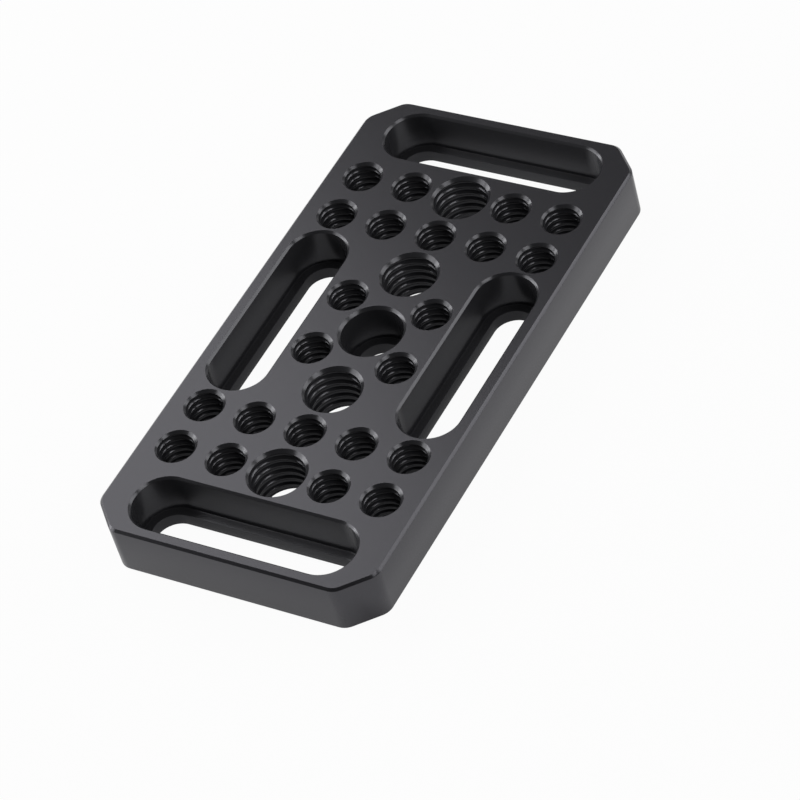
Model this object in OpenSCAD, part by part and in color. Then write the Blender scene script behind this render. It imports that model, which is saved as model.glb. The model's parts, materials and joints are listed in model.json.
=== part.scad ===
// Camera cage expansion plate: one machined aluminium plate with a field of threaded
// holes, four stepped slots and a counterbored hole in the middle.
// X runs across the plate, Y along it, and Z up from its underside.

/* [Plate] */
// Width across the plate
plate_w = 54; // [53:0.5:60]
// Length along the plate
plate_l = 107; // [106:0.5:120]
// Thickness of the plate
plate_t = 10; // [9:0.5:14]
// Each plate corner is cut off at 45 degrees, this far along both sides
corner_cut = 5.4; // [4:0.1:6.5]
// Radius where a corner cut meets a side
corner_r = 3; // [1:0.25:4]
// Bevel along every outer edge, top and bottom
edge_bevel = 0.45; // [0.2:0.05:0.8]

/* [Slots] */
// Width of a slot at the top face
slot_w = 12; // [10:0.25:12.5]
// Width of the narrower opening that goes right through
slot_through_w = 8; // [6:0.25:9]
// Depth of the wide part, from the top face down to the ledge
slot_depth = 7.5; // [6:0.25:8]
// Bevel round the slot's rim at the top face
slot_bevel = 0.4; // [0.2:0.05:0.6]
// Bevel round the slot's opening at the underside
slot_under_bevel = 0.2; // [0.1:0.05:0.4]
// Length of each end slot at the top face
end_slot_l = 43.2; // [36:0.2:44]
// Metal left between an end slot and the end of the plate
end_slot_wall = 1.9; // [1.5:0.1:2.2]
// Length of each side slot at the top face
side_slot_l = 39.6; // [30:0.2:40]
// Metal left between a side slot and the side of the plate
side_slot_wall = 2.2; // [1.5:0.1:2.4]

/* [Threaded holes] */
// Bore of a 1/4 in - 20 hole, across the crests of its thread
small_d = 6.3; // [5.8:0.05:6.5]
// Depth of a small hole's right-angled countersink, and its width on each side
small_sink = 0.6; // [0.2:0.05:0.8]
// Bore of a 3/8 in - 16 hole, across the crests of its thread
large_d = 9.5; // [9:0.05:9.7]
// Depth of a large hole's right-angled countersink, and its width on each side
large_sink = 0.65; // [0.2:0.05:0.8]
// Distance between neighbouring holes in a row, across the plate
hole_pitch = 10; // [9.9:0.05:10.4]
// Distance from the middle of the plate to the first large hole
first_row = 14.1; // [14:0.05:14.4]
// Distance from an end slot's rim to the centres of the end row
slot_to_end_row = 5.9; // [5.6:0.1:6.4]
// Distance across, from the middle to the small holes around it
ring_x = 8.3; // [8:0.05:8.6]
// Distance along, from the middle to the small holes around it
ring_y = 6.5; // [6.2:0.05:6.7]

/* [Middle hole] */
// Diameter of the middle hole's rim at the top face
middle_rim_d = 12.1; // [11:0.1:12.5]
// Bevel round that rim
middle_bevel = 0.5; // [0.2:0.05:0.7]
// Depth of the wide part of the middle hole
middle_depth = 7.3; // [6:0.1:8]
// Diameter of the opening in its floor
middle_through_d = 8; // [6:0.25:9]
// Bevel round that opening at the underside
middle_under_bevel = 0.4; // [0.2:0.05:0.6]

/* [Hidden] */
$fn = 96;
black_anodised = [0.23, 0.23, 0.25];
// How far a cutter runs past the faces that it cuts
past = 1;
// Facets on the rounded plate corners
corner_fn = 32;
// Centres of the slots
end_slot_y = plate_l / 2 - end_slot_wall - slot_w / 2;
side_slot_x = plate_w / 2 - side_slot_wall - slot_w / 2;
// The end row stands off the end slot, and the middle row halfway from it to the first large hole
end_row = end_slot_y - slot_w / 2 - slot_to_end_row;
mid_row = (first_row + end_row) / 2;
// Half section of each cutter, as [distance from its axis, height], and closed along the axis
small_section = countersunk(small_d / 2, small_sink);
large_section = countersunk(large_d / 2, large_sink);
slot_section = stepped(slot_w / 2, slot_bevel, slot_depth, slot_through_w / 2, slot_under_bevel);
middle_section =
    stepped(middle_rim_d / 2, middle_bevel, middle_depth, middle_through_d / 2, middle_under_bevel);
// Small holes at one end of the plate, mirrored to the other end
small_at_end = concat(
    [for (i = [-2, -1, 1, 2]) [i * hole_pitch, end_row]],
    [for (i = [-2:2]) [i * hole_pitch, mid_row]],
    [for (side = [-1, 1]) [side * ring_x, ring_y]]);
large_at_end = [[0, first_row], [0, end_row]];

// A through hole with the same countersink at both faces
function countersunk(r, sink) = [
    [0, -past],
    [r + sink + past, -past],
    [r, sink],
    [r, plate_t - sink],
    [r + sink + past, plate_t + past],
    [0, plate_t + past]
];

// A wide pocket over a narrower opening, with a bevel at each face
function stepped(rim_r, bevel, depth, through_r, under_bevel) = [
    [0, -past],
    [through_r + under_bevel + past, -past],
    [through_r, under_bevel],
    [through_r, plate_t - depth],
    [rim_r - bevel, plate_t - depth],
    [rim_r - bevel, plate_t - bevel],
    [rim_r + past, plate_t + past],
    [0, plate_t + past]
];

// Cuts from the part what the half section sweeps round its axis
module round_cut(section) {
    rotate_extrude() polygon(section);
}

// The same half section drawn out to a slot of this length and width, along X
module long_cut(section, length, width) {
    run = length - width;
    for (side = [0, 180])
        rotate(side)
            translate([run / 2, 0, 0])
                rotate_extrude(angle = 180, start = -90) polygon(section);
    for (side = [0, 180])
        rotate(side)
            translate([-run / 2, 0, 0])
                rotate([90, 0, 90])
                    linear_extrude(run) polygon(section);
}

// A post with bevelled ends: one stands in each corner of the plate's outline
module corner_post() {
    cylinder(h = plate_t, r = corner_r - edge_bevel, $fn = corner_fn);
    translate([0, 0, edge_bevel])
        cylinder(h = plate_t - 2 * edge_bevel, r = corner_r, $fn = corner_fn);
}

// The plate before any hole: a rectangle with its corners cut off, rounded and bevelled
module blank() {
    inset = corner_r * tan(22.5);
    x = plate_w / 2;
    y = plate_l / 2;
    hull()
        for (mx = [-1, 1], my = [-1, 1]) {
            translate([mx * (x - corner_r), my * (y - corner_cut - inset), 0]) corner_post();
            translate([mx * (x - corner_cut - inset), my * (y - corner_r), 0]) corner_post();
        }
}

module threaded_holes() {
    for (end = [-1, 1]) {
        for (at = small_at_end)
            translate([at.x, end * at.y, 0]) round_cut(small_section);
        for (at = large_at_end)
            translate([at.x, end * at.y, 0]) round_cut(large_section);
    }
}

module slots() {
    for (end = [-1, 1]) {
        translate([0, end * end_slot_y, 0]) long_cut(slot_section, end_slot_l, slot_w);
        translate([end * side_slot_x, 0, 0]) rotate(90) long_cut(slot_section, side_slot_l, slot_w);
    }
}

module plate() {
    color(black_anodised)
        difference() {
            blank();
            threaded_holes();
            round_cut(middle_section);
            slots();
        }
}

plate();
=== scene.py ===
"""The expansion plate in satin black anodised aluminium, lying on a pale floor under soft studio light."""

import json
import math

import bmesh
import bpy
from mathutils import Matrix, Vector


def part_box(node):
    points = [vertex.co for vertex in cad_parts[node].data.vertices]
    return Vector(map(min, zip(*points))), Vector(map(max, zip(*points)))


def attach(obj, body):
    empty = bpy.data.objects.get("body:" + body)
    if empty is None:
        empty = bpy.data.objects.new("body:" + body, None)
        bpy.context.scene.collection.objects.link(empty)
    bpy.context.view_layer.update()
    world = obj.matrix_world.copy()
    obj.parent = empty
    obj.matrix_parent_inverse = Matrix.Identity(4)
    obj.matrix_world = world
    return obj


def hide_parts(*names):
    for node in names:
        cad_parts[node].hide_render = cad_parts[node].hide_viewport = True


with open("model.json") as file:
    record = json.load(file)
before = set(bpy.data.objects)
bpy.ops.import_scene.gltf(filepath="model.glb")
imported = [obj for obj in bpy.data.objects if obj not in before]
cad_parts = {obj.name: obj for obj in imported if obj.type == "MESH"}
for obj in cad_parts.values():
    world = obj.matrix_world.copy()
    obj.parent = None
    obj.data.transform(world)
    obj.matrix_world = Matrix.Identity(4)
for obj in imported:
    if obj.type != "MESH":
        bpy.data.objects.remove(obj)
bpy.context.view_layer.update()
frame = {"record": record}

MM = 0.001

# Plate, in millimetres as in the part's source
CORNER_CUT = 5.4
CORNER_R = 3.0
EDGE_BEVEL = 0.45
# Rounding of the bevels' own edges, and of the corner at the foot of a pocket
EDGE_SOFT = 0.08
FLOOR_CORNER_R = 0.25

# Slots: width at the top face, the opening under it, and the bevels
SLOT_W = 12.0
SLOT_THROUGH_W = 8.0
SLOT_DEPTH = 7.5
SLOT_BEVEL = 0.4
SLOT_UNDER_BEVEL = 0.2
END_SLOT_L = 43.2
END_SLOT_WALL = 1.9
SIDE_SLOT_L = 39.6
SIDE_SLOT_WALL = 2.2

# Middle hole
MIDDLE_RIM_D = 12.1
MIDDLE_BEVEL = 0.5
MIDDLE_DEPTH = 7.3
MIDDLE_THROUGH_D = 8.0
MIDDLE_UNDER_BEVEL = 0.4

# Threads: pitch, width of the countersink at a face, turn in degrees at which the helix starts, and
# facets round a full turn
SMALL_THREAD = {"pitch": 1.27, "sink_d": 7.5, "start": 60.0, "facets": 28}
LARGE_THREAD = {"pitch": 1.5875, "sink_d": 10.8, "start": -70.0, "facets": 48}
# Half outline of a thread's groove, as shares of its pitch: depth below the crest, and distance from its
# middle. The last point lies inside the bore, so that the flank runs on past the wall.
GROOVE_OUTLINE = [(0.22, 0.095), (0.17, 0.25), (-0.05, 0.47)]

# Facets round a slot's ends and the middle hole, on the two roundings of a corner of the plate, and on
# a softened edge
SLOT_FACETS = 96
CORNER_FACETS = 10
SOFT_FACETS = 2
# How far a cutter runs past the faces that it cuts
PAST = 1.0
# Edges that turn by more than this, in degrees, are shaded sharp
SHARP_ANGLE = 35

# Finishes: base colour, metallic, roughness, how far the roughness varies, and strength of the bump
FACE_FINISH = ((0.066, 0.065, 0.073), 0.6, 0.24, 0.08, 0.5)
CUT_FINISH = ((0.07, 0.07, 0.077), 0.5, 0.22, 0.04, 0.2)
THREAD_FINISH = ((0.075, 0.075, 0.083), 0.55, 0.2, 0.04, 0.2)
# The blasted grain's size and height in metres, and the detail of its noise
GRAIN_SIZE = 0.0003
GRAIN_HEIGHT = 0.00001
GRAIN_DETAIL = 3.0

# The photograph's camera, in degrees and millimetres, with the nearest that it sees
VIEW_AZIMUTH = 40.24
VIEW_ELEVATION = 44.94
VIEW_ROLL = -17.04
VIEW_DISTANCE = 621.1
VIEW_FOCAL = 164.1
VIEW_NEAREST = 10
SENSOR = 36.0
# The photograph's side, and where the middle of the plate's top face is in it, in pixels
PHOTO_SIDE = 800
PLATE_MIDDLE_PX = (371.6, 331.1)

# Floor, in metres. It lies a hair under the plate, so that their faces never share a plane.
FLOOR_SIDE = 6.0
FLOOR_GAP = 0.00002
FLOOR_COLOUR = (0.9, 0.9, 0.9)
FLOOR_ROUGHNESS = 0.9
# Share of the floor that glows white where the camera sees it, so that only a faint shadow is left
FLOOR_GLOW = 0.96
# The same share in reflections, under the plate and clear of it, and where the one gives way to the
# other, as shares of the plate's half width and half length
# The lower glow under the plate is a painted shadow in what the plate reflects of the floor.
FLOOR_GLOW_UNDER_PAINTED_SHADOW = 0.28
FLOOR_GLOW_CLEAR = 0.85
FLOOR_PAINTED_SHADOW_EDGE = (0.9, 1.12)

# Studio: the backdrop at the horizon gives way to the ceiling at this height, as the sine of an elevation
BACKDROP_GLOW = 0.9
CEILING_GLOW = 0.15
CEILING_START = 0.3
# The side of the studio behind the camera is dark: where it is centred, in degrees, how dark it is, and
# the cosines of the angles from its centre between which it fades in
DARK_SIDE_AZIMUTH = -70
DARK_SIDE_SHARE = 0.2
DARK_SIDE_FADE = (0.25, 0.6)
# Softboxes, at one distance in metres: name, azimuth and elevation in degrees, width and height, radiance
SOFTBOX_DISTANCE = 0.7
SOFTBOXES = [
    ("back_right_softbox", 38, 25, 0.45, 0.26, 2.4),
    ("right_softbox", -8, 40, 0.30, 0.22, 2.6),
    ("left_softbox", 168, 40, 0.70, 0.52, 1.95),
    ("low_left_softbox", 186, 8, 0.44, 0.14, 4.0),
    ("front_left_softbox", 210, 17, 0.34, 0.32, 2.4),
]

plate_low, plate_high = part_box("plate")
plate_w, plate_l, plate_t = ((plate_high - plate_low) / MM)[:]
mounts = {m["name"]: m for m in frame["record"]["mounts"]}


# Outlines

def rounded(points, radii):
    """An open run of points, with each of its inner corners rounded to a radius."""
    out = [Vector(points[0])]
    for before, corner, after, radius in zip(points, points[1:], points[2:], radii):
        before, corner, after = Vector(before), Vector(corner), Vector(after)
        to_before = (before - corner).normalized()
        to_after = (after - corner).normalized()
        half = to_before.angle(to_after) / 2
        reach = radius / math.tan(half)
        centre = corner + (to_before + to_after).normalized() * radius / math.sin(half)
        start = corner + to_before * reach - centre
        end = corner + to_after * reach - centre
        turn = start.angle_signed(end)
        for step in range(SOFT_FACETS + 1):
            spin = Matrix.Rotation(-turn * step / SOFT_FACETS, 2)
            out.append(centre + spin @ start)
    out.append(Vector(points[-1]))
    return out


def stepped_section(rim_d, bevel, depth, through_d, under_bevel):
    """Half section of a pocket over a narrower opening: distance from its axis, and height."""
    rim_r = rim_d / 2
    through_r = through_d / 2
    wall_r = rim_r - bevel
    points = [
        (through_r + under_bevel + PAST, -PAST),
        (through_r, under_bevel),
        (through_r, plate_t - depth),
        (wall_r, plate_t - depth),
        (wall_r, plate_t - bevel),
        (rim_r + PAST, plate_t + PAST),
    ]
    return rounded(points, [EDGE_SOFT, EDGE_SOFT, FLOOR_CORNER_R, EDGE_SOFT])


def countersunk_section(bore_d, sink_d):
    """Half section of a through hole with the same countersink at both faces."""
    bore_r = bore_d / 2
    sink = (sink_d - bore_d) / 2
    return [
        Vector((bore_r + sink + PAST, -PAST)),
        Vector((bore_r, sink)),
        Vector((bore_r, plate_t - sink)),
        Vector((bore_r + sink + PAST, plate_t + PAST)),
    ]


def slot_ring(radius, run, facets):
    """A loop with round ends, run long between their centres, along X."""
    half = facets // 2
    angles = [math.pi * (step / half - 0.5) for step in range(half + 1)]
    return [
        Vector((side * (run / 2 + radius * math.cos(angle)), side * radius * math.sin(angle)))
        for side in (1, -1)
        for angle in angles
    ]


def round_ring(radius, facets):
    """A circle, as a loop of points."""
    angles = [2 * math.pi * step / facets for step in range(facets)]
    return [Vector((radius * math.cos(angle), radius * math.sin(angle))) for angle in angles]


def plate_ring(inset):
    """The plate's outline, drawn in by inset: a rectangle with cut and rounded corners."""
    x, y = plate_w / 2, plate_l / 2
    # Each rounding takes up half of a cut's 45 degrees on either side of its corner
    reach = CORNER_R * math.tan(math.radians(45 / 2))
    centres = [
        (Vector((x - CORNER_R, y - CORNER_CUT - reach)), 0),
        (Vector((x - CORNER_CUT - reach, y - CORNER_R)), 45),
    ]
    ring = []
    for flip_x, flip_y in ((1, 1), (-1, 1), (-1, -1), (1, -1)):
        corner = []
        for centre, start in centres:
            for step in range(CORNER_FACETS // 2 + 1):
                angle = math.radians(start + 45 * step / (CORNER_FACETS // 2))
                point = centre + (CORNER_R - inset) * Vector((math.cos(angle), math.sin(angle)))
                corner.append(Vector((point.x * flip_x, point.y * flip_y)))
        if flip_x * flip_y < 0:
            corner.reverse()
        ring += corner
    return ring


# Meshes

def placed(data, name):
    """A new object in the scene, with this mesh or camera."""
    obj = bpy.data.objects.new(name, data)
    bpy.context.scene.collection.objects.link(obj)
    return obj


def lofted(name, rings, material):
    """A closed solid through rings of equal count, each a list of flat points and a height, in millimetres."""
    bm = bmesh.new()
    loops = []
    for ring, height in rings:
        loops.append([bm.verts.new((p.x * MM, p.y * MM, height * MM)) for p in ring])
    count = len(loops[0])
    for low, high in zip(loops, loops[1:]):
        for i in range(count):
            j = (i + 1) % count
            bm.faces.new((low[i], low[j], high[j], high[i]))
    bm.faces.new(list(reversed(loops[0])))
    bm.faces.new(loops[-1])
    bmesh.ops.recalc_face_normals(bm, faces=bm.faces)
    mesh = bpy.data.meshes.new(name)
    bm.to_mesh(mesh)
    bm.free()
    mesh.materials.append(material)
    return placed(mesh, name)


def swept_cutter(name, section, material, run=0.0, facets=SLOT_FACETS):
    """The solid that a half section sweeps: round a point, or round a slot of this run."""
    if run:
        rings = [(slot_ring(p.x, run, facets), p.y) for p in section]
    else:
        rings = [(round_ring(p.x, facets), p.y) for p in section]
    return lofted(name, rings, material)


def points_cloud(name, places):
    """A mesh of loose points, for a node tree to put copies on."""
    mesh = bpy.data.meshes.new(name)
    mesh.from_pydata(places, [], [])
    return placed(mesh, name)


# Node trees

def tree_socket(tree, name, kind, default=None, out=False):
    """A named input or output of a tree."""
    side = "OUTPUT" if out else "INPUT"
    socket = tree.interface.new_socket(name, in_out=side, socket_type=kind)
    if default is not None:
        socket.default_value = default


def node(tree, kind, **values):
    """A new node with these settings."""
    made = tree.nodes.new(kind)
    for name, value in values.items():
        setattr(made, name, value)
    return made


def maths(tree, operation, a, b=0):
    """The result of a Math node on two numbers or sockets."""
    made = node(tree, "ShaderNodeMath", operation=operation)
    for slot, value in enumerate((a, b)):
        if isinstance(value, (int, float)):
            made.inputs[slot].default_value = value
        else:
            tree.links.new(value, made.inputs[slot])
    return made.outputs[0]


def faded(tree, value, start, end, before, after):
    """A number that goes smoothly from before to after while value goes from start to end."""
    made = node(tree, "ShaderNodeMapRange", interpolation_type="SMOOTHSTEP")
    tree.links.new(value, made.inputs["Value"])
    for name, number in (("From Min", start), ("From Max", end), ("To Min", before), ("To Max", after)):
        made.inputs[name].default_value = number
    return made.outputs["Result"]


def finished(tree, geometry, material):
    """The end of each geometry tree: everything made real, and the cut faces in their own finish."""
    real = node(tree, "GeometryNodeRealizeInstances")
    chosen = node(tree, "GeometryNodeMaterialSelection")
    coat = node(tree, "GeometryNodeSetMaterial")
    tree.links.new(geometry, real.inputs["Geometry"])
    tree.links.new(material, chosen.inputs["Material"])
    tree.links.new(real.outputs["Geometry"], coat.inputs["Geometry"])
    tree.links.new(chosen.outputs["Selection"], coat.inputs["Selection"])
    tree.links.new(material, coat.inputs["Material"])
    return coat.outputs["Geometry"]


def thread_tree():
    """Adds to a bore's cutter the groove of a right-hand thread, wound round it as a helix."""
    tree = bpy.data.node_groups.new("thread on a bore cutter", "GeometryNodeTree")
    tree_socket(tree, "Geometry", "NodeSocketGeometry", out=True)
    tree_socket(tree, "Geometry", "NodeSocketGeometry")
    tree_socket(tree, "Groove Outline", "NodeSocketObject")
    tree_socket(tree, "Bore Radius", "NodeSocketFloat", 0.0025)
    tree_socket(tree, "Pitch", "NodeSocketFloat", 0.001)
    tree_socket(tree, "Turns", "NodeSocketFloat", 8.0)
    tree_socket(tree, "Facets per Turn", "NodeSocketInt", 40)
    tree_socket(tree, "Material", "NodeSocketMaterial")
    into = node(tree, "NodeGroupInput").outputs
    out = node(tree, "NodeGroupOutput")
    link = tree.links.new

    helix = node(tree, "GeometryNodeCurveSpiral")
    helix.inputs["Reverse"].default_value = True
    link(into["Facets per Turn"], helix.inputs["Resolution"])
    link(into["Turns"], helix.inputs["Rotations"])
    link(into["Bore Radius"], helix.inputs["Start Radius"])
    link(into["Bore Radius"], helix.inputs["End Radius"])
    link(maths(tree, "MULTIPLY", into["Turns"], into["Pitch"]), helix.inputs["Height"])
    upright = node(tree, "GeometryNodeSetCurveNormal", mode="Z_UP")
    link(helix.outputs["Curve"], upright.inputs["Curve"])

    outline = node(tree, "GeometryNodeObjectInfo", transform_space="ORIGINAL")
    link(into["Groove Outline"], outline.inputs["Object"])
    section = node(tree, "GeometryNodeMeshToCurve")
    link(outline.outputs["Geometry"], section.inputs["Mesh"])
    sweep = node(tree, "GeometryNodeCurveToMesh")
    sweep.inputs["Fill Caps"].default_value = True
    link(upright.outputs["Curve"], sweep.inputs["Curve"])
    link(section.outputs["Curve"], sweep.inputs["Profile Curve"])
    coat = node(tree, "GeometryNodeSetMaterial")
    link(sweep.outputs["Mesh"], coat.inputs["Geometry"])
    link(into["Material"], coat.inputs["Material"])

    # The helix starts a turn below the underside
    lowered = node(tree, "GeometryNodeTransform")
    shift = node(tree, "ShaderNodeCombineXYZ")
    link(maths(tree, "MULTIPLY", into["Pitch"], -1.0), shift.inputs["Z"])
    link(shift.outputs["Vector"], lowered.inputs["Translation"])
    link(coat.outputs["Geometry"], lowered.inputs["Geometry"])
    joined = node(tree, "GeometryNodeMeshBoolean", operation="UNION", solver="MANIFOLD")
    link(into["Geometry"], joined.inputs["Mesh 2"])
    link(lowered.outputs["Geometry"], joined.inputs["Mesh 2"])
    link(finished(tree, joined.outputs["Mesh"], into["Material"]), out.inputs["Geometry"])
    return tree


def drilling_tree(sets):
    """Cuts sets of holes out of the plate: each set is a cutter, copied to a cloud of points."""
    tree = bpy.data.node_groups.new("holes drilled in the plate", "GeometryNodeTree")
    tree_socket(tree, "Geometry", "NodeSocketGeometry", out=True)
    tree_socket(tree, "Geometry", "NodeSocketGeometry")
    for name in sets:
        tree_socket(tree, name + " Cutter", "NodeSocketObject")
        tree_socket(tree, name + " Places", "NodeSocketObject")
    tree_socket(tree, "Cut Finish", "NodeSocketMaterial")
    into = node(tree, "NodeGroupInput").outputs
    out = node(tree, "NodeGroupOutput")
    link = tree.links.new
    cut = into["Geometry"]
    for name in sets:
        cutter = node(tree, "GeometryNodeObjectInfo", transform_space="ORIGINAL")
        places = node(tree, "GeometryNodeObjectInfo", transform_space="ORIGINAL")
        link(into[name + " Cutter"], cutter.inputs["Object"])
        link(into[name + " Places"], places.inputs["Object"])
        copies = node(tree, "GeometryNodeInstanceOnPoints")
        link(places.outputs["Geometry"], copies.inputs["Points"])
        link(cutter.outputs["Geometry"], copies.inputs["Instance"])
        real = node(tree, "GeometryNodeRealizeInstances")
        link(copies.outputs["Instances"], real.inputs["Geometry"])
        boolean = node(tree, "GeometryNodeMeshBoolean", operation="DIFFERENCE", solver="MANIFOLD")
        link(cut, boolean.inputs["Mesh 1"])
        link(real.outputs["Geometry"], boolean.inputs["Mesh 2"])
        cut = boolean.outputs["Mesh"]
    link(finished(tree, cut, into["Cut Finish"]), out.inputs["Geometry"])
    return tree


def run_tree(obj, tree, values):
    """Runs a geometry tree on an object with these inputs, and keeps the mesh that comes out."""
    modifier = obj.modifiers.new("tree", "NODES")
    modifier.node_group = tree
    for item in tree.interface.items_tree:
        if item.in_out == "INPUT" and item.name in values:
            modifier[item.identifier] = values[item.name]
    bpy.context.view_layer.update()
    depsgraph = bpy.context.evaluated_depsgraph_get()
    mesh = bpy.data.meshes.new_from_object(obj.evaluated_get(depsgraph), depsgraph=depsgraph)
    obj.modifiers.remove(modifier)
    obj.data = mesh


# Materials

def principled(material):
    """The material's Principled shader."""
    material.use_nodes = True
    return next(n for n in material.node_tree.nodes if n.type == "BSDF_PRINCIPLED")


def blast_grain():
    """Shader group for blasted and anodised metal's grain: a roughness that varies, and a height for bump."""
    tree = bpy.data.node_groups.new("blast grain", "ShaderNodeTree")
    tree_socket(tree, "Roughness", "NodeSocketFloat", 0.25)
    tree_socket(tree, "Variation", "NodeSocketFloat", 0.04)
    tree_socket(tree, "Grain Size", "NodeSocketFloat", GRAIN_SIZE)
    tree_socket(tree, "Roughness", "NodeSocketFloat", out=True)
    tree_socket(tree, "Height", "NodeSocketFloat", out=True)
    into = node(tree, "NodeGroupInput").outputs
    out = node(tree, "NodeGroupOutput").inputs
    where = node(tree, "ShaderNodeTexCoord")
    grain = node(tree, "ShaderNodeTexNoise")
    grain.inputs["Detail"].default_value = GRAIN_DETAIL
    tree.links.new(where.outputs["Object"], grain.inputs["Vector"])
    tree.links.new(maths(tree, "DIVIDE", 1.0, into["Grain Size"]), grain.inputs["Scale"])
    centred = maths(tree, "SUBTRACT", grain.outputs["Fac"], 0.5)
    spread = maths(tree, "MULTIPLY", centred, into["Variation"])
    tree.links.new(maths(tree, "ADD", into["Roughness"], spread), out["Roughness"])
    tree.links.new(grain.outputs["Fac"], out["Height"])
    return tree


def anodised(name, grain, colour, metallic, roughness, variation, bump):
    """Black anodised aluminium with its own colour, shine and strength of grain."""
    material = bpy.data.materials.new(name)
    shader = principled(material)
    shader.inputs["Base Color"].default_value = (*colour, 1)
    shader.inputs["Metallic"].default_value = metallic
    tree = material.node_tree
    surface = node(tree, "ShaderNodeGroup", node_tree=grain)
    surface.inputs["Roughness"].default_value = roughness
    surface.inputs["Variation"].default_value = variation
    tree.links.new(surface.outputs["Roughness"], shader.inputs["Roughness"])
    relief = node(tree, "ShaderNodeBump")
    relief.inputs["Strength"].default_value = bump
    relief.inputs["Distance"].default_value = GRAIN_HEIGHT
    tree.links.new(surface.outputs["Height"], relief.inputs["Height"])
    tree.links.new(relief.outputs["Normal"], shader.inputs["Normal"])
    return material


# The plate

def hole_places(radius_mm):
    """Centres of the stated threaded holes of one bore radius, in metres on the underside's plane."""
    places = []
    for mount in frame["record"]["mounts"]:
        x, y = mount["pos_m"][:2]
        dims = mount["dims"]
        if mount["kind"] == "threaded_hole" and dims["r_mm"] == radius_mm:
            places.append((x, y, 0))
        if mount["kind"] == "bolt_pattern" and dims["hole_r_mm"] == radius_mm:
            across = dims.get("spacing_x_mm", 0) / 2
            along = dims.get("spacing_y_mm", 0) / 2
            places += [
                (x + side * across * MM, y + end * along * MM, 0)
                for side in ((-1, 1) if across else (0,))
                for end in ((-1, 1) if along else (0,))
            ]
    return places


def groove_outline(name, pitch):
    """The thread groove's closed outline: X goes out from the bore's wall, and Y along its axis."""
    half = [(depth * pitch, away * pitch) for depth, away in GROOVE_OUTLINE]
    outline = half + [(x, -y) for x, y in reversed(half)]
    mesh = bpy.data.meshes.new(name)
    edges = [(i, (i + 1) % len(outline)) for i in range(len(outline))]
    mesh.from_pydata([(x * MM, y * MM, 0) for x, y in outline], edges, [])
    return placed(mesh, name)


def thread_cutter(name, bore_r, thread, tree, wall_material, groove_material):
    """The cutter for a threaded hole: a bore across the thread's crests, with the groove wound round it."""
    pitch = thread["pitch"]
    section = countersunk_section(2 * bore_r, thread["sink_d"])
    cutter = swept_cutter(name, section, wall_material, facets=thread["facets"])
    outline = groove_outline(name + "_groove", pitch)
    run_tree(cutter, tree, {
        "Groove Outline": outline,
        "Bore Radius": bore_r * MM,
        "Pitch": pitch * MM,
        "Turns": (plate_t + 2 * pitch) / pitch,
        "Facets per Turn": thread["facets"],
        "Material": groove_material,
    })
    cutter.data.transform(Matrix.Rotation(math.radians(thread["start"]), 4, "Z"))
    bpy.data.objects.remove(outline)
    return cutter


def build_plate():
    """The plate, with every slot and hole cut from one blank."""
    grain = blast_grain()
    blasted = anodised("anodised_face", grain, *FACE_FINISH)
    machined = anodised("anodised_cut", grain, *CUT_FINISH)
    tapped = anodised("anodised_thread", grain, *THREAD_FINISH)
    edge = [(EDGE_BEVEL, 0), (0, EDGE_BEVEL), (0, plate_t - EDGE_BEVEL), (EDGE_BEVEL, plate_t)]
    side = rounded(edge, [EDGE_SOFT, EDGE_SOFT])
    blank = lofted("plate_body", [(plate_ring(p.x), p.y) for p in side], blasted)

    slot_section = stepped_section(SLOT_W, SLOT_BEVEL, SLOT_DEPTH, SLOT_THROUGH_W, SLOT_UNDER_BEVEL)
    end_slot = swept_cutter("end_slot_cutter", slot_section, machined, END_SLOT_L - SLOT_W)
    side_slot = swept_cutter("side_slot_cutter", slot_section, machined, SIDE_SLOT_L - SLOT_W)
    side_slot.data.transform(Matrix.Rotation(math.pi / 2, 4, "Z"))
    end_y = (plate_l / 2 - END_SLOT_WALL - SLOT_W / 2) * MM
    side_x = (plate_w / 2 - SIDE_SLOT_WALL - SLOT_W / 2) * MM
    middle_section = stepped_section(
        MIDDLE_RIM_D, MIDDLE_BEVEL, MIDDLE_DEPTH, MIDDLE_THROUGH_D, MIDDLE_UNDER_BEVEL
    )
    middle = swept_cutter("middle_cutter", middle_section, machined)

    threads = thread_tree()
    small_r = mounts["small_threads_round_middle"]["dims"]["hole_r_mm"]
    large_r = mounts["large_thread_inner_far"]["dims"]["r_mm"]
    small = thread_cutter("small_cutter", small_r, SMALL_THREAD, threads, machined, tapped)
    large = thread_cutter("large_cutter", large_r, LARGE_THREAD, threads, machined, tapped)

    sets = {
        "End Slot": (end_slot, [(0, end_y, 0), (0, -end_y, 0)]),
        "Side Slot": (side_slot, [(side_x, 0, 0), (-side_x, 0, 0)]),
        "Middle Hole": (middle, [(0, 0, 0)]),
        "Large Thread": (large, hole_places(large_r)),
        "Small Thread": (small, hole_places(small_r)),
    }
    values = {"Cut Finish": machined}
    helpers = []
    for name, (cutter, places) in sets.items():
        cloud = points_cloud(name.lower().replace(" ", "_") + "_places", places)
        values[name + " Cutter"] = cutter
        values[name + " Places"] = cloud
        helpers += [cutter, cloud]
    run_tree(blank, drilling_tree(sets), values)
    for helper in helpers:
        bpy.data.objects.remove(helper)
    blank.data.set_sharp_from_angle(angle=math.radians(SHARP_ANGLE))
    for polygon in blank.data.polygons:
        polygon.use_smooth = True
    return blank


# Studio

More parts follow.
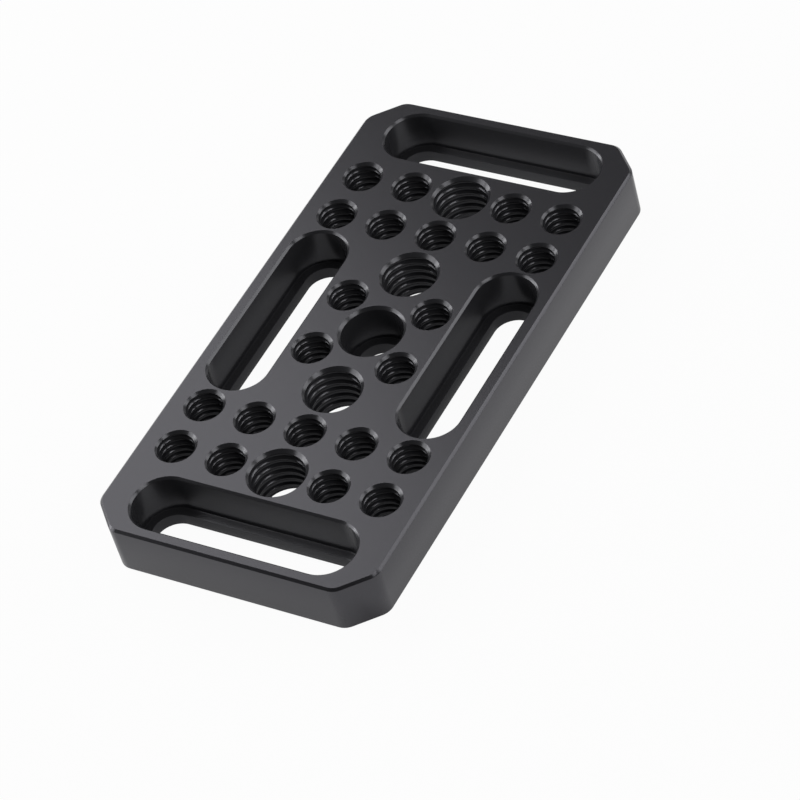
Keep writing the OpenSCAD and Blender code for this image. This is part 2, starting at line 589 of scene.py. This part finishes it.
def build_camera():
    """The photograph's camera."""
    azimuth, elevation, roll = (math.radians(v) for v in (VIEW_AZIMUTH, VIEW_ELEVATION, VIEW_ROLL))
    back = Vector(
        (math.sin(azimuth) * math.cos(elevation), -math.cos(azimuth) * math.cos(elevation), math.sin(elevation))
    )
    level = Vector((math.cos(azimuth), math.sin(azimuth), 0))
    rise = back.cross(level)
    right = level * math.cos(roll) + rise * math.sin(roll)
    up = rise * math.cos(roll) - level * math.sin(roll)
    scale = VIEW_DISTANCE * SENSOR / VIEW_FOCAL / PHOTO_SIDE
    aside = (PLATE_MIDDLE_PX[0] - PHOTO_SIDE / 2) * scale
    below = (PLATE_MIDDLE_PX[1] - PHOTO_SIDE / 2) * scale
    middle = Vector((0, 0, plate_t))
    data = bpy.data.cameras.new("camera")
    data.lens = VIEW_FOCAL
    data.sensor_width = SENSOR
    data.clip_start = VIEW_NEAREST * MM
    camera = placed(data, "camera")
    spot = (middle - right * aside + up * below + back * VIEW_DISTANCE) * MM
    turn = Matrix((right, up, back)).transposed().to_4x4()
    camera.matrix_world = Matrix.Translation(spot) @ turn
    bpy.context.scene.camera = camera


def softbox(name, azimuth, elevation, width, height, radiance):
    """A flat panel of light that faces the plate, as wide and high as given in metres."""
    data = bpy.data.lights.new(name, "AREA")
    data.shape = "RECTANGLE"
    data.size = width
    data.size_y = height
    data.energy = radiance * math.pi * width * height
    lamp = placed(data, name)
    azimuth, elevation = math.radians(azimuth), math.radians(elevation)
    towards = Vector(
        (math.cos(azimuth) * math.cos(elevation), math.sin(azimuth) * math.cos(elevation), math.sin(elevation))
    )
    turn = towards.to_track_quat("Z", "Y").to_matrix().to_4x4()
    lamp.matrix_world = Matrix.Translation(towards * SOFTBOX_DISTANCE) @ turn


def floor_material():
    """White that glows for the camera and in reflections, with a painted shadow where it glows less in
    reflections under the plate, and is clear from below to show the underside.
    """
    material = bpy.data.materials.new("white_floor_with_painted_shadow")
    shader = principled(material)
    shader.inputs["Base Color"].default_value = (*FLOOR_COLOUR, 1)
    shader.inputs["Roughness"].default_value = FLOOR_ROUGHNESS
    shader.inputs["Specular IOR Level"].default_value = 0.0
    tree = material.node_tree
    link = tree.links.new
    where = node(tree, "ShaderNodeTexCoord")
    split = node(tree, "ShaderNodeSeparateXYZ")
    link(where.outputs["Object"], split.inputs["Vector"])
    # Painted shadow in reflections: the floor glows less under the plate than clear of it.
    across = maths(tree, "DIVIDE", maths(tree, "ABSOLUTE", split.outputs["X"]), plate_w * MM / 2)
    along = maths(tree, "DIVIDE", maths(tree, "ABSOLUTE", split.outputs["Y"]), plate_l * MM / 2)
    outwards = maths(tree, "MAXIMUM", across, along)
    gloss_glow_with_painted_shadow = faded(tree, outwards, *FLOOR_PAINTED_SHADOW_EDGE, FLOOR_GLOW_UNDER_PAINTED_SHADOW, FLOOR_GLOW_CLEAR)

    path = node(tree, "ShaderNodeLightPath")
    to_camera = maths(tree, "MULTIPLY", path.outputs["Is Camera Ray"], FLOOR_GLOW)
    gloss_ray_glow_with_painted_shadow = maths(tree, "MULTIPLY", path.outputs["Is Glossy Ray"], gloss_glow_with_painted_shadow)
    glow = node(tree, "ShaderNodeEmission")
    lit = node(tree, "ShaderNodeMixShader")
    link(maths(tree, "ADD", to_camera, gloss_ray_glow_with_painted_shadow), lit.inputs["Fac"])
    link(shader.outputs["BSDF"], lit.inputs[1])
    link(glow.outputs["Emission"], lit.inputs[2])

    facing = node(tree, "ShaderNodeNewGeometry")
    clear = node(tree, "ShaderNodeBsdfTransparent")
    one_sided = node(tree, "ShaderNodeMixShader")
    link(facing.outputs["Backfacing"], one_sided.inputs["Fac"])
    link(lit.outputs["Shader"], one_sided.inputs[1])
    link(clear.outputs["BSDF"], one_sided.inputs[2])
    out = next(n for n in tree.nodes if n.type == "OUTPUT_MATERIAL")
    link(one_sided.outputs["Shader"], out.inputs["Surface"])
    return material


def build_floor():
    """The pale floor that the plate lies on."""
    side = FLOOR_SIDE / 2
    mesh = bpy.data.meshes.new("floor")
    corners = [(-side, -side), (side, -side), (side, side), (-side, side)]
    mesh.from_pydata([(x, y, -FLOOR_GAP) for x, y in corners], [], [(0, 1, 2, 3)])
    mesh.materials.append(floor_material())
    placed(mesh, "floor")


def build_light():
    """A backdrop that is white for the camera, with a dark ceiling and one dark side, and the softboxes."""
    world = bpy.data.worlds.new("studio")
    bpy.context.scene.world = world
    world.use_nodes = True
    tree = world.node_tree
    background = tree.nodes["Background"]
    background.inputs["Color"].default_value = (1, 1, 1, 1)
    where = node(tree, "ShaderNodeTexCoord")
    split = node(tree, "ShaderNodeSeparateXYZ")
    tree.links.new(where.outputs["Generated"], split.inputs["Vector"])
    height = faded(tree, split.outputs["Z"], 0.0, CEILING_START, BACKDROP_GLOW, CEILING_GLOW)
    towards = node(tree, "ShaderNodeVectorMath", operation="DOT_PRODUCT")
    turn = math.radians(DARK_SIDE_AZIMUTH)
    towards.inputs[1].default_value = (math.cos(turn), math.sin(turn), 0)
    tree.links.new(where.outputs["Generated"], towards.inputs[0])
    dark = faded(tree, towards.outputs["Value"], *DARK_SIDE_FADE, 1.0, DARK_SIDE_SHARE)
    path = node(tree, "ShaderNodeLightPath")
    seen = maths(tree, "MAXIMUM", maths(tree, "MULTIPLY", height, dark), path.outputs["Is Camera Ray"])
    tree.links.new(seen, background.inputs["Strength"])
    for lamp in SOFTBOXES:
        softbox(*lamp)


bpy.context.scene.view_settings.view_transform = "Standard"
build_camera()
plate = build_plate()
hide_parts("plate")
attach(plate, "root")
build_floor()
build_light()
